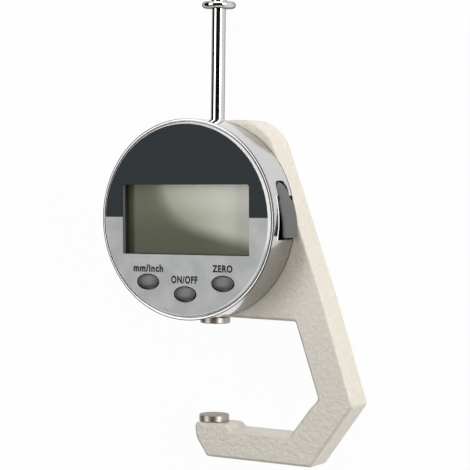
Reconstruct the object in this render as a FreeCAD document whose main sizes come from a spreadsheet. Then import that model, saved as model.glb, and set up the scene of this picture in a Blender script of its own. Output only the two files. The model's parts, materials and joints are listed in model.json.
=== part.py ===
"""Digital thickness gauge: a cast C frame, a sliding spindle and a round reading head.

Millimetres. The gauge lies on its back. The origin is the centre of the anvil's
measuring face. +Y runs up the spindle towards the lifting cap, +X towards the
spine of the frame, and +Z out of the display.
"""
import FreeCAD, Part
import math
import os
import Sketcher

doc = FreeCAD.newDocument("thickness_gauge")


# Named sizes

class Size:
    """A length that also keeps the sheet expression that it comes from."""

    def __init__(self, value, text):
        self.value = value
        self.text = text

    @staticmethod
    def of(number):
        return number if isinstance(number, Size) else Size(float(number), repr(number))

    def __add__(self, other):
        other = Size.of(other)
        return Size(self.value + other.value, "(%s + %s)" % (self.text, other.text))

    def __radd__(self, other):
        return Size.of(other) + self

    def __sub__(self, other):
        other = Size.of(other)
        return Size(self.value - other.value, "(%s - %s)" % (self.text, other.text))

    def __rsub__(self, other):
        return Size.of(other) - self

    def __mul__(self, other):
        other = Size.of(other)
        return Size(self.value * other.value, "(%s * %s)" % (self.text, other.text))

    def __rmul__(self, other):
        return Size.of(other) * self

    def __truediv__(self, other):
        other = Size.of(other)
        return Size(self.value / other.value, "(%s / %s)" % (self.text, other.text))

    def __neg__(self):
        return Size(-self.value, "(-1 * %s)" % self.text)


def root(size):
    return Size(math.sqrt(size.value), "sqrt(%s)" % size.text)


def sine(size):
    return Size(math.sin(math.radians(size.value)), "sin(%s * 1 deg)" % size.text)


def cosine(size):
    return Size(math.cos(math.radians(size.value)), "cos(%s * 1 deg)" % size.text)


SIZES = [
    # Spindle line
    ("measuring_range", 25.4, "gap between anvil and contact with the spindle raised"),
    ("disc_radius", 4.15, "anvil and contact discs"),
    ("disc_edge", 0.2, "chamfer round both discs"),
    ("anvil_height", 1.9, "anvil disc above its pad"),
    ("stud_radius", 1.25, "studs of the anvil, the contact and the cap"),
    ("anvil_stud_depth", 5.5, "anvil stud in the arm"),
    ("contact_height", 1.8, "contact disc"),
    ("contact_stud", 6.0, "contact stud in the rod"),
    ("contact_clear", 0.35, "raised contact disc to the frame"),
    ("rod_radius", 1.9, "spindle rod"),
    ("rod_length", 84.9, "spindle rod, contact to cap"),
    ("cap_radius", 4.65, "lifting cap"),
    ("cap_height", 1.8, "lifting cap rim"),
    ("cap_stud", 4.0, "cap stud in the rod"),
    ("cap_round", 0.75, "rounding of the cap's rim"),
    ("cap_boss_radius", 2.15, "boss on the cap"),
    ("cap_boss_height", 1.0, "boss on the cap"),
    ("running_gap", 0.03, "radial clearance of the rod in its bushes"),
    ("bush_radius", 2.9, "both bushes"),
    ("lower_bush_length", 8.9, "lower bush"),
    ("upper_bush_seat", 7.0, "upper bush in the frame"),
    ("bush_proud", 0.1, "upper bush above the frame"),
    ("bush_chamfer", 0.3, "bush mouths"),
    ("seal_section", 0.45, "half the side of the friction ring's section"),
    ("seal_height", 3.0, "friction ring below the frame top"),
    # Carrier and scale
    ("carrier_length", 11.0, "carrier along the spindle"),
    ("carrier_gap", 0.5, "carrier to the pocket sides"),
    ("end_gap", 0.8, "carrier to the pocket ends"),
    ("carrier_back_gap", 0.4, "carrier to the pocket floor"),
    ("strip_thickness", 0.3, "scale strip"),
    ("strip_inset", 0.9, "scale strip inside the carrier's front"),
    ("strip_gap", 0.45, "scale strip to the sensor board"),
    ("rail_radius", 0.8, "guide rail"),
    ("rail_gap", 0.05, "carrier round the rail"),
    ("rail_web", 1.2, "metal between the rod and the rail"),
    ("rail_depth", 0.7, "guide rail behind the spindle axis"),
    ("rail_seat", 2.0, "rail ends in the frame"),
    ("grub_radius", 0.9, "carrier set screw"),
    ("grub_length", 1.7, "carrier set screw"),
    # Frame casting
    ("frame_front", 4.45, "spindle axis to the front face"),
    ("frame_back", 4.7, "spindle axis to the back face"),
    ("edge_round", 0.9, "rounding of the outline edges"),
    ("arm_end", 3.9, "arm end left of the spindle axis"),
    ("arm_end_lean", 0.5, "arm end at the height of its knuckle"),
    ("arm_knuckle", 6.2, "arm end knuckle below the anvil face"),
    ("arm_toe", 0.2, "start of the arm's underside"),
    ("arm_depth", 11.3, "arm's underside below the anvil face"),
    ("pad_end", 6.5, "end of the anvil pad"),
    ("step_run", 1.5, "slope between pad and arm"),
    ("step_drop", 1.3, "arm's top below the pad"),
    ("arm_reach", 26.4, "arm's top, far end"),
    ("bend_reach", 32.2, "slight bend of the inner slope"),
    ("bend_height", 4.5, "slight bend of the inner slope"),
    ("knee_reach", 34.75, "inner knee of the spine"),
    ("knee_height", 7.2, "inner knee of the spine"),
    ("throat_reach", 27.5, "throat corner"),
    ("heel_reach", 45.3, "outer knee of the spine"),
    ("heel_height", 6.0, "outer knee of the spine"),
    ("sole_reach", 32.8, "end of the arm's underside"),
    ("spine_reach", 35.5, "slight bend of the spine's outer edge"),
    ("spine_rise", 7.35, "same bend above the throat"),
    ("crown_reach", 17.86, "upper right corner before rounding"),
    ("crown_round", 11.5, "upper right corner"),
    ("flank_reach", 13.5, "left edge behind the head"),
    ("flank_round", 8.0, "left corners behind the head"),
    ("corner_round", 1.2, "other outer corners"),
    ("knuckle_round", 4.0, "arm end knuckle"),
    ("inner_round", 0.8, "inner corners"),
    ("knee_round", 1.4, "inner knee"),
    ("pocket_half", 6.1, "half width of the carrier pocket"),
    ("pocket_wall", 1.8, "frame behind the carrier pocket"),
    ("pocket_round", 1.0, "corners of the carrier pocket"),
    # Screws
    ("screw_aside", 3.6, "frame screws beside the pocket"),
    ("screw_inset", 10.2, "frame screws from the head's edge, up and down"),
    ("screw_radius", 1.2, "frame screw shank"),
    ("screw_hole_gap", 0.15, "frame hole round the shank"),
    ("screw_head_radius", 2.2, "frame screw head"),
    ("screw_head_height", 1.6, "frame screw head"),
    ("screw_sink", 0.5, "screw heads below the back face"),
    ("sink_gap", 0.3, "counterbore round a head"),
    ("boss_radius", 2.6, "screw bosses on the rear cover"),
    ("boss_height", 2.4, "screw bosses on the rear cover"),
    ("screw_end_gap", 0.4, "screw ends to the end of their holes"),
    ("slot_width", 0.6, "driver slots"),
    ("slot_depth", 0.6, "driver slots"),
    ("small_screw_radius", 0.8, "cover and board screw shanks"),
    ("small_head_radius", 1.5, "cover and board screw heads"),
    ("small_head_height", 0.9, "cover and board screw heads"),
    ("cover_screw_inset", 3.2, "cover screws from the housing wall"),
    ("cover_screw_depth", 3.0, "cover screws beyond the rear cover"),
    # Head housing
    ("head_radius", 27.2, "outside of the housing"),
    ("head_drop", 1.05, "head centre below the middle of the pocket"),
    ("face_proud", 0.8, "face in front of the housing rim"),
    ("housing_wall", 1.8, "housing wall"),
    ("rim_chamfer", 0.2, "front edge of the housing"),
    ("rear_chamfer", 0.35, "rear edge of the housing"),
    ("rear_undercut", 0.7, "shadow gap between the housing and the frame"),
    ("seat_depth", 1.4, "face cover's seat below the rim"),
    ("rim_width", 0.85, "front rim of the housing"),
    ("groove_width", 0.14, "shadow groove round the face cover"),
    ("groove_depth", 0.3, "shadow groove round the face cover"),
    ("ledge_width", 1.2, "ledge that the rear cover meets"),
    ("ledge_height", 1.0, "ledge that the rear cover meets"),
    ("post_radius", 1.9, "cover screw posts"),
    ("rear_thickness", 1.5, "rear cover"),
    ("fit_gap", 0.05, "fits between still pieces"),
    # Face cover
    ("display_gap", 0.15, "display to the battery contact behind it"),
    ("face_border", 0.49, "bevel from the face's flat to its edge"),
    ("face_chamfer_drop", 0.75, "bright bevel round the face"),
    ("face_thickness", 1.3, "face cover"),
    ("face_turn", 1.2, "degrees that the face sits turned in the housing"),
    ("window_side", 5.76, "face beside the window"),
    ("window_half_height", 9.5, "display window"),
    ("window_round", 0.8, "display window corners"),
    ("panel_thickness", 0.2, "dark upper field"),
    ("panel_edge", 0.1, "dark field inside the face's edge"),
    ("panel_bottom", 0.6, "dark field's lower edge above the head axis"),
    # Display
    ("sight_step", 0.1, "display frame's opening inside the window"),
    ("liner_rear", 0.3, "display frame behind the glass"),
    ("liner_margin", 1.7, "display frame outside the window"),
    ("display_depth", 2.9, "display below the face"),
    ("display_thickness", 1.6, "display glass"),
    ("display_margin", 0.9, "display glass outside the window"),
    ("strip_short", 2.0, "rubber connectors inside the glass ends"),
    ("connector_half", 0.8, "rubber connectors"),
    ("connector_inset", 0.9, "rubber connectors from the glass edge to their middle"),
    # Boards
    ("board_drop", 4.6, "main board's front behind the face cover"),
    ("board_thickness", 1.0, "both boards"),
    ("board_clear", 1.1, "main board to the housing wall"),
    ("board_screw_inset", 2.3, "board screws from the housing wall"),
    ("upper_screw_angle", 26.0, "upper board screws from the vertical, in degrees"),
    ("lower_screw_angle", 124.0, "lower board screws from the vertical, in degrees"),
    ("board_post_radius", 1.45, "posts under the face cover"),
    ("chip_half", 3.2, "reading chip"),
    ("chip_height", 1.1, "reading chip"),
    ("chip_reach", 10.0, "reading chip left of the middle"),
    ("sensor_half_width", 5.2, "sensor board"),
    ("sensor_ledge", 0.8, "ledge that carries the sensor board"),
    ("sensor_lip", 0.3, "ledge that carries the sensor board"),
    ("link_half_width", 3.6, "pin block between the boards"),
    ("link_half_height", 0.9, "pin block between the boards"),
    ("link_inset", 1.05, "pin block from the lower end of the sensor board"),
    # Keys
    ("key_half_width", 3.4, "oval keys"),
    ("key_half_height", 2.0, "oval keys"),
    ("key_gap", 0.22, "key holes round the keys"),
    ("key_proud", 0.55, "keys above the face"),
    ("key_dome", 0.25, "bevel round the keys"),
    ("key_flange", 0.6, "stop flange round the keys"),
    ("key_flange_height", 0.8, "stop flange"),
    ("key_nib_radius", 0.9, "nib under the keys"),
    ("key_travel", 0.4, "key stroke"),
    ("key_angle", 35.0, "side keys from the vertical, in degrees"),
    ("side_key_inset", 5.11, "side keys from the face's edge"),
    ("middle_key_inset", 5.76, "middle key from the face's edge"),
    ("dome_radius", 2.0, "snap domes"),
    ("dome_height", 0.6, "snap domes"),
    ("dome_sheet", 0.15, "snap dome sheet"),
    # Battery
    ("cell_radius", 5.8, "button cell"),
    ("cell_height", 5.4, "button cell"),
    ("cell_margin", 1.9, "button cell to the housing wall"),
    ("cell_rise", 1.3, "button cell above the head axis"),
    ("cell_gap", 0.15, "holder round the cell"),
    ("holder_wall", 1.0, "battery holder"),
    ("holder_margin", 0.5, "board round the holder"),
    ("contact_sheet", 0.25, "battery contacts"),
    # Battery cover
    ("door_sill", 0.35, "side opening in front of the frame"),
    ("door_head", 2.3, "side opening behind the rim"),
    ("door_gap", 0.3, "cover to the opening"),
    ("door_bottom", 4.8, "opening below the head axis"),
    ("door_shoulder", 6.9, "wide part of the opening above the head axis"),
    ("shoulder_gap", 0.8, "cover's shoulders below the opening, as they swing up"),
    ("tip_gap", 0.5, "tongue's end below the slot's end"),
    ("slot_shoulder", 1.3, "tongue's slot narrower than the opening, each side"),
    ("pivot_inset", 2.8, "cover pivot from the head's edge, level with its axis"),
    ("pivot_rise", 9.0, "cover pivot above the head axis"),
    ("pivot_radius", 0.5, "cover pin"),
    ("pivot_gap", 0.05, "cover round its pin"),
    ("pin_overlap", 1.0, "cover pin in the housing at each end"),
    ("cover_ajar", 8.5, "degrees that the cover stands open at rest"),
    ("cover_tip", 1.4, "cover above its pivot"),
    ("cover_skin", 1.3, "cover thickness"),
    ("cover_knuckle", 1.15, "tongue inside the pivot"),
    ("tongue_round", 2.4, "corners of the tongue"),
    ("shoulder_slope", 1.3, "sloped shoulders of the cover"),
    ("foot_round", 0.6, "lower corners of the cover"),
]


class Sheet:
    """Gives each named size of the document's sheet as a Size."""

    def __init__(self, rows):
        self.cells = doc.addObject("Spreadsheet::Sheet", "Sizes")
        self.values = {}
        for number, (alias, value, note) in enumerate(rows, start=1):
            self.cells.set("A%d" % number, note)
            self.cells.set("B%d" % number, str(value))
            self.cells.setAlias("B%d" % number, alias)
            self.values[alias] = float(value)
        doc.recompute()

    def __getattr__(self, alias):
        return Size(self.values[alias], "Sizes." + alias)


S = Sheet(SIZES)
ZERO = Size(0.0, "0")


# Building blocks

def bind(thing, name, size):
    """Set a property and tie it to the sheet."""
    size = Size.of(size)
    if "." not in name:
        setattr(thing, name, size.value)
    thing.setExpression(name, size.text)


def new_body(label, at=(0, 0, 0), turn=None):
    """An empty body, placed at a point and turned about +Z."""
    body = doc.addObject("PartDesign::Body", label)
    body.Label = label
    angle = Size.of(turn).value if turn is not None else 0.0
    point = [Size.of(value) for value in at]
    rotation = FreeCAD.Rotation(FreeCAD.Vector(0, 0, 1), angle)
    body.Placement = FreeCAD.Placement(FreeCAD.Vector(*[value.value for value in point]), rotation)
    for axis, value in zip("xyz", point):
        bind(body, "Placement.Base." + axis, value)
    if turn is not None:
        bind(body, "Placement.Rotation.Angle", turn)
    return body


def new_sketch(body, plane, level=0):
    """A sketch on one of the body's own planes, lifted along the plane's normal."""
    sketch = body.newObject("Sketcher::SketchObject", "Outline")
    support = [part for part in body.Origin.OriginFeatures if part.Role == plane][0]
    sketch.AttachmentSupport = [(support, "")]
    sketch.MapMode = "FlatFace"
    level = Size.of(level)
    sketch.AttachmentOffset = FreeCAD.Placement(FreeCAD.Vector(0, 0, level.value), FreeCAD.Rotation())
    bind(sketch, "AttachmentOffset.Base.z", level)
    return sketch


def place_point(sketch, edge, end, point):
    """Hold one end of a sketch edge at a point of the sheet's sizes."""
    for kind, value in zip(("DistanceX", "DistanceY"), point):
        value = Size.of(value)
        number = sketch.addConstraint(Sketcher.Constraint(kind, -1, 1, edge, end, value.value))
        sketch.setExpression("Constraints[%d]" % number, value.text)


def polygon(sketch, points):
    """A closed outline of straight lines."""
    corners = [FreeCAD.Vector(Size.of(x).value, Size.of(y).value, 0) for x, y in points]
    count = len(corners)
    first = sketch.GeometryCount
    for number in range(count):
        line = Part.LineSegment(corners[number], corners[(number + 1) % count])
        sketch.addGeometry(line, False)
    for number in range(count):
        following = first + (number + 1) % count
        sketch.addConstraint(Sketcher.Constraint("Coincident", first + number, 2, following, 1))
    for number, point in enumerate(points):
        place_point(sketch, first + number, 1, point)
    return sketch


def rectangle(sketch, left, right, bottom, top):
    return polygon(sketch, [(left, bottom), (right, bottom), (right, top), (left, top)])


def circle(sketch, x, y, radius):
    radius = Size.of(radius)
    centre = FreeCAD.Vector(Size.of(x).value, Size.of(y).value, 0)
    number = sketch.addGeometry(Part.Circle(centre, FreeCAD.Vector(0, 0, 1), radius.value), False)
    place_point(sketch, number, 3, (x, y))
    held = sketch.addConstraint(Sketcher.Constraint("Radius", number, radius.value))
    sketch.setExpression("Constraints[%d]" % held, radius.text)
    return sketch


def pad(body, sketch, length, name="Pad"):
    feature = body.newObject("PartDesign::Pad", name)
    feature.Profile = sketch
    bind(feature, "Length", length)
    sketch.Visibility = False
    doc.recompute()
    return feature


def pocket(body, sketch, length, towards_normal=True, name="Pocket"):
    """Cut a sketch out, along its normal or against it."""
    before = body.Tip.Shape.Volume
    feature = body.newObject("PartDesign::Pocket", name)
    feature.Profile = sketch
    feature.Reversed = towards_normal
    bind(feature, "Length", length)
    doc.recompute()
    if feature.Shape.Volume > before - 1e-6:
        raise RuntimeError("a pocket in %s removes nothing" % body.Label)
    return feature


def turned(body, points, plane="XY_Plane", level=0, cut=False, name="Turned"):
    """Revolve a profile about its sketch's own vertical axis."""
    sketch = new_sketch(body, plane, level)
    polygon(sketch, points)
    kind = "PartDesign::Groove" if cut else "PartDesign::Revolution"
    feature = body.newObject(kind, name)
    feature.Profile = sketch
    feature.ReferenceAxis = (sketch, ["V_Axis"])
    feature.Angle = 360.0
    doc.recompute()
    return feature


def round_edges(body, test, radius, name="Rounding"):
    """Fillet every edge of the body's tip that passes the test."""
    base = body.Tip
    names = ["Edge%d" % number for number, edge in enumerate(base.Shape.Edges, start=1) if test(edge)]
    feature = body.newObject("PartDesign::Fillet", name)
    feature.Base = (base, names)
    bind(feature, "Radius", radius)
    doc.recompute()
    return feature


def chamfer_edges(body, test, size, name="Chamfer"):
    """Chamfer every edge of the body's tip that passes the test."""
    base = body.Tip
    names = ["Edge%d" % number for number, edge in enumerate(base.Shape.Edges, start=1) if test(edge)]
    feature = body.newObject("PartDesign::Chamfer", name)
    feature.Base = (base, names)
    bind(feature, "Size", size)
    doc.recompute()
    return feature


def near(first, second):
    return abs(first - second) < 1e-4


def stands_at(*corners):
    """Test for edges along Z that stand on one of some points."""
    spots = [(Size.of(x).value, Size.of(y).value) for x, y in corners]

    def test(edge):
        box = edge.BoundBox
        flat = near(box.XMin, box.XMax) and near(box.YMin, box.YMax)
        return flat and any(near(box.XMin, x) and near(box.YMin, y) for x, y in spots)
    return test


def across_at(height):
    """Test for edges along X at one place along Y."""
    level = Size.of(height).value

    def test(edge):
        box = edge.BoundBox
        return near(box.ZMin, box.ZMax) and near(box.YMin, level) and near(box.YMax, level)
    return test


def lies_at(level):
    """Test for edges in one plane across Z."""
    height = Size.of(level).value
    return lambda edge: near(edge.BoundBox.ZMin, height) and near(edge.BoundBox.ZMax, height)


# Heights along the spindle and places that several pieces share

THROAT_TOP = S.measuring_range + S.contact_height + S.contact_clear
POCKET_LOW = THROAT_TOP + S.lower_bush_length
POCKET_HIGH = POCKET_LOW + S.carrier_length + S.measuring_range + 2 * S.end_gap
FRAME_TOP = POCKET_HIGH + S.upper_bush_seat
HEAD_Y = (POCKET_LOW + POCKET_HIGH) / 2 - S.head_drop
CONTACT_TOP = S.measuring_range + S.contact_height
ROD_TOP = CONTACT_TOP + S.rod_length
PAD_Y = -S.anvil_height
ARM_Y = PAD_Y - S.step_drop
POCKET_FLOOR = S.pocket_wall - S.frame_back
CARRIER_HIGH = POCKET_HIGH - S.end_gap
CARRIER_LOW = CARRIER_HIGH - S.carrier_length
SENSOR_BACK = S.frame_front + S.sensor_lip
STRIP_FRONT = SENSOR_BACK - S.strip_gap
CARRIER_FRONT = STRIP_FRONT - S.strip_thickness
SEAL_Y = FRAME_TOP - S.seal_height
RAIL_X = S.rod_radius + S.rail_web + S.rail_radius

REAR_INSIDE = S.frame_front + S.rear_thickness
CELL_BACK = REAR_INSIDE + S.contact_sheet
CELL_FRONT = CELL_BACK + S.cell_height
DISPLAY_BACK = CELL_FRONT + S.contact_sheet + S.display_gap
DISPLAY_FRONT = DISPLAY_BACK + S.display_thickness
FACE_FRONT = DISPLAY_FRONT + S.display_depth
FACE_BACK = FACE_FRONT - S.face_thickness
RIM_Z = FACE_FRONT - S.face_proud
SEAT_Z = RIM_Z - S.seat_depth
BOARD_FRONT = FACE_BACK - S.board_drop
BOARD_BACK = BOARD_FRONT - S.board_thickness
LINER_BACK = DISPLAY_BACK - S.liner_rear

INNER_RADIUS = S.head_radius - S.housing_wall
REAR_RADIUS = INNER_RADIUS - 2 * S.fit_gap
SEAT_RADIUS = S.head_radius - S.rim_width
FACE_RADIUS = SEAT_RADIUS - S.face_border
BOARD_RADIUS = INNER_RADIUS - S.board_clear
WINDOW_WIDE = FACE_RADIUS - S.window_side
WINDOW_TALL = S.window_half_height
GLASS_WIDE = WINDOW_WIDE + S.display_margin
GLASS_TALL = WINDOW_TALL + S.display_margin
CELL_X = INNER_RADIUS - S.cell_margin - S.cell_radius
HOLDER_RADIUS = S.cell_radius + S.cell_gap + S.holder_wall
PIVOT_X = S.head_radius - S.pivot_inset
DOOR_BACK = S.frame_front + S.door_sill
DOOR_FRONT = RIM_Z - S.door_head
SLOT_BACK = DOOR_BACK + S.slot_shoulder
SLOT_FRONT = DOOR_FRONT - S.slot_shoulder
DIAGONAL = 0.7071
COVER_SCREW = (INNER_RADIUS - S.cover_screw_inset) * DIAGONAL
SIDE_KEY = FACE_RADIUS - S.side_key_inset
BOARD_SCREW = INNER_RADIUS - S.board_screw_inset

HEAD = (ZERO, HEAD_Y, ZERO)
SCREW_X = S.pocket_half + S.screw_aside
SCREW_RISE = S.head_radius - S.screw_inset
SCREW_SPOTS = [(side * SCREW_X, HEAD_Y + level * SCREW_RISE) for side in (-1, 1) for level in (-1, 1)]
COVER_SCREW_SPOTS = [(side * COVER_SCREW, level * COVER_SCREW) for side in (-1, 1) for level in (-1, 1)]
BOARD_SCREW_SPOTS = [(side * BOARD_SCREW * sine(angle), BOARD_SCREW * cosine(angle))
                     for angle in (S.upper_screw_angle, S.lower_screw_angle) for side in (-1, 1)]
KEYS = {
    "units": (-1 * SIDE_KEY * sine(S.key_angle), -1 * SIDE_KEY * cosine(S.key_angle)),
    "power": (ZERO, S.middle_key_inset - FACE_RADIUS),
    "zero": (SIDE_KEY * sine(S.key_angle), -1 * SIDE_KEY * cosine(S.key_angle)),
}


# Frame

def make_frame_casting():
    """The C frame: a padded outline with the carrier's pocket, bush bores and screw holes."""
    body = new_body("frame_casting")
    pad_left = (-S.arm_end, PAD_Y)
    pad_right = (S.pad_end, PAD_Y)
    step_foot = (S.pad_end + S.step_run, ARM_Y)
    arm_far = (S.arm_reach, ARM_Y)
    bend = (S.bend_reach, S.bend_height)
    knee = (S.knee_reach, S.knee_height)
    throat = (S.throat_reach, THROAT_TOP)
    flank_low = (-S.flank_reach, THROAT_TOP)
    flank_high = (-S.flank_reach, FRAME_TOP)
    crown = (S.crown_reach, FRAME_TOP)
    spine = (S.spine_reach, THROAT_TOP + S.spine_rise)
    heel = (S.heel_reach, S.heel_height)
    sole = (S.sole_reach, -S.arm_depth)
    toe = (S.arm_toe, -S.arm_depth)
    knuckle = (S.arm_end_lean - S.arm_end, -S.arm_knuckle)
    outline = new_sketch(body, "XY_Plane", -S.frame_back)
    polygon(outline, [pad_left, pad_right, step_foot, arm_far, bend, knee, throat, flank_low,
                      flank_high, crown, spine, heel, sole, toe, knuckle])
    pad(body, outline, S.frame_front + S.frame_back)
    round_edges(body, stands_at(crown), S.crown_round)
    round_edges(body, stands_at(flank_low, flank_high), S.flank_round)
    round_edges(body, stands_at(knuckle), S.knuckle_round)
    round_edges(body, stands_at(knee), S.knee_round)
    round_edges(body, stands_at(pad_left, pad_right, heel, sole, toe), S.corner_round)
    round_edges(body, stands_at(step_foot, arm_far, throat), S.inner_round)
    front, back = lies_at(S.frame_front), lies_at(-S.frame_back)
    round_edges(body, lambda edge: front(edge) or back(edge), S.edge_round)

    way = new_sketch(body, "XY_Plane", POCKET_FLOOR)
    rectangle(way, -S.pocket_half, S.pocket_half, POCKET_LOW, POCKET_HIGH)
    pocket(body, way, S.frame_front - POCKET_FLOOR)
    corners = [(side * S.pocket_half, level) for side in (-1, 1) for level in (POCKET_LOW, POCKET_HIGH)]
    round_edges(body, stands_at(*corners), S.pocket_round)
    for low, high in ((THROAT_TOP, POCKET_LOW), (POCKET_HIGH, FRAME_TOP)):
        turned(body, [(0, low), (S.bush_radius, low), (S.bush_radius, high), (0, high)], cut=True)
    turned(body, [(0, PAD_Y - S.anvil_stud_depth), (S.stud_radius, PAD_Y - S.anvil_stud_depth),
                  (S.stud_radius, PAD_Y), (0, PAD_Y)], cut=True)
    rail = new_sketch(body, "XZ_Plane", -(POCKET_LOW - S.rail_seat))
    circle(rail, RAIL_X, -S.rail_depth, S.rail_radius)
    pocket(body, rail, POCKET_HIGH - POCKET_LOW + 2 * S.rail_seat, towards_normal=False)
    holes = new_sketch(body, "XY_Plane", -S.frame_back)
    sinks = new_sketch(body, "XY_Plane", -S.frame_back)
    for x, y in SCREW_SPOTS:
        circle(holes, x, y, S.screw_radius + S.screw_hole_gap)
        circle(sinks, x, y, S.screw_head_radius + S.sink_gap)
    pocket(body, holes, S.frame_front + S.frame_back)
    pocket(body, sinks, S.screw_head_height + S.screw_sink)
    return body


def make_anvil():
    """Fixed measuring disc with the stud that holds it in the arm."""
    body = new_body("anvil")
    low = PAD_Y - S.anvil_stud_depth
    turned(body, [(0, low), (S.stud_radius, low), (S.stud_radius, PAD_Y),
                  (S.disc_radius - S.disc_edge, PAD_Y), (S.disc_radius, PAD_Y + S.disc_edge),
                  (S.disc_radius, -S.disc_edge), (S.disc_radius - S.disc_edge, 0), (0, 0)])
    return body


def make_lower_bush():
    """Plain bush between the throat and the carrier's pocket."""
    body = new_body("lower_bush")
    bore = S.rod_radius + S.running_gap
    turned(body, [(bore + S.bush_chamfer, THROAT_TOP), (S.bush_radius, THROAT_TOP),
                  (S.bush_radius, POCKET_LOW), (bore, POCKET_LOW),
                  (bore, THROAT_TOP + S.bush_chamfer)])
    return body


def make_upper_bush():
    """Bush that stands proud of the frame's top, grooved inside for the friction ring."""
    body = new_body("upper_bush")
    bore = S.rod_radius + S.running_gap
    top = FRAME_TOP + S.bush_proud
    groove = bore + 2 * S.seal_section
    turned(body, [(bore, POCKET_HIGH), (S.bush_radius, POCKET_HIGH),
                  (S.bush_radius, top - S.bush_chamfer), (S.bush_radius - S.bush_chamfer, top),
                  (bore, top), (bore, SEAL_Y + S.seal_section), (groove, SEAL_Y + S.seal_section),
                  (groove, SEAL_Y - S.seal_section), (bore, SEAL_Y - S.seal_section)])
    return body


def make_spindle_seal():
    """Square-section rubber ring whose grip holds the spindle where it is put."""
    body = new_body("spindle_seal")
    inner = S.rod_radius + S.running_gap
    outer = inner + 2 * S.seal_section
    turned(body, [(inner, SEAL_Y - S.seal_section), (outer, SEAL_Y - S.seal_section),
                  (outer, SEAL_Y + S.seal_section), (inner, SEAL_Y + S.seal_section)])
    return body


def make_guide_rail():
    """Round rail beside the spindle that keeps the carrier from turning."""
    body = new_body("guide_rail", at=(RAIL_X, ZERO, -S.rail_depth))
    low, high = POCKET_LOW - S.rail_seat, POCKET_HIGH + S.rail_seat
    turned(body, [(0, low), (S.rail_radius, low), (S.rail_radius, high), (0, high)])
    return body


def make_screws(label, spots, at, underside, shank_end, shank, head, head_height, turn=None):
    """A group of screws whose heads point to -Z: underside is where the heads seat."""
    body = new_body(label, at=at, turn=turn)
    heads = new_sketch(body, "XY_Plane", underside - head_height)
    for x, y in spots:
        circle(heads, x, y, head)
    pad(body, heads, head_height)
    shanks = new_sketch(body, "XY_Plane", underside)
    for x, y in spots:
        circle(shanks, x, y, shank)
    pad(body, shanks, shank_end - underside)
    return body


def make_frame_screws():
    """Four screws that hold the head to the frame from behind."""
    seat = S.screw_head_height + S.screw_sink - S.frame_back
    body = make_screws("frame_screws", SCREW_SPOTS, (0, 0, 0), seat,
                       REAR_INSIDE + S.boss_height - S.screw_end_gap,
                       S.screw_radius, S.screw_head_radius, S.screw_head_height)
    slots = new_sketch(body, "XY_Plane", seat - S.screw_head_height)
    head, half = S.screw_head_radius, S.slot_width / 2
    for x, y in SCREW_SPOTS:
        rectangle(slots, x - head, x + head, y - half, y + half)
    pocket(body, slots, S.slot_depth)
    return body


# Spindle

def make_spindle_rod():
    """Ground rod, drilled at both ends for the contact and the cap."""
    body = new_body("spindle_rod")
    turned(body, [(0, CONTACT_TOP + S.contact_stud), (S.stud_radius, CONTACT_TOP + S.contact_stud),
                  (S.stud_radius, CONTACT_TOP), (S.rod_radius, CONTACT_TOP), (S.rod_radius, ROD_TOP),
                  (S.stud_radius, ROD_TOP), (S.stud_radius, ROD_TOP - S.cap_stud),
                  (0, ROD_TOP - S.cap_stud)])
    return body


def make_spindle_cap():
    """Mushroom cap with a rounded rim, a low boss and a stud in the rod."""
    body = new_body("spindle_cap")
    high = ROD_TOP + S.cap_height
    top = high + S.cap_boss_height
    bevel, shallow = S.cap_round, 0.3 * S.cap_round
    turned(body, [(0, ROD_TOP - S.cap_stud), (S.stud_radius, ROD_TOP - S.cap_stud),
                  (S.stud_radius, ROD_TOP), (S.cap_radius - bevel, ROD_TOP),
                  (S.cap_radius - shallow, ROD_TOP + shallow), (S.cap_radius, ROD_TOP + bevel),
                  (S.cap_radius, high - bevel), (S.cap_radius - shallow, high - shallow),
                  (S.cap_radius - bevel, high), (S.cap_boss_radius, high),
                  (S.cap_boss_radius, top - shallow), (S.cap_boss_radius - shallow, top), (0, top)])
    return body


def make_contact_tip():
    """Moving measuring disc with its stud in the rod."""
    body = new_body("contact_tip")
    low, high = S.measuring_range, CONTACT_TOP
    turned(body, [(0, low), (S.disc_radius - S.disc_edge, low), (S.disc_radius, low + S.disc_edge),
                  (S.disc_radius, high - S.disc_edge), (S.disc_radius - S.disc_edge, high),
                  (S.stud_radius, high), (S.stud_radius, high + S.contact_stud),
                  (0, high + S.contact_stud)])
    return body


def make_scale_carrier():
    """Block on the rod that carries the scale strip and runs along the rail."""
    body = new_body("scale_carrier")
    half = S.pocket_half - S.carrier_gap
    back = POCKET_FLOOR + S.carrier_back_gap
    block = new_sketch(body, "XY_Plane", back)
    rectangle(block, -half, half, CARRIER_LOW, CARRIER_HIGH)
    pad(body, block, CARRIER_FRONT - back)
    side = half.value

    def upright(edge):
        box = edge.BoundBox
        return near(box.XMin, box.XMax) and near(box.YMin, box.YMax) and near(abs(box.XMin), side)
    round_edges(body, upright, 0.4 * S.carrier_gap)
    bores = new_sketch(body, "XZ_Plane", -CARRIER_LOW)
    circle(bores, 0, 0, S.rod_radius)
    circle(bores, RAIL_X, -S.rail_depth, S.rail_radius + S.rail_gap)
    pocket(body, bores, S.carrier_length, towards_normal=False)
    grub = new_sketch(body, "YZ_Plane", -half)
    circle(grub, (CARRIER_LOW + CARRIER_HIGH) / 2, 0, S.grub_radius)
    pocket(body, grub, half)
    return body


def make_carrier_screw():
    """Set screw that clamps the carrier to the rod."""
    body = new_body("carrier_screw")
    outline = new_sketch(body, "YZ_Plane", -S.rod_radius - S.grub_length)
    circle(outline, (CARRIER_LOW + CARRIER_HIGH) / 2, 0, S.grub_radius)
    pad(body, outline, S.grub_length)
    return body


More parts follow.
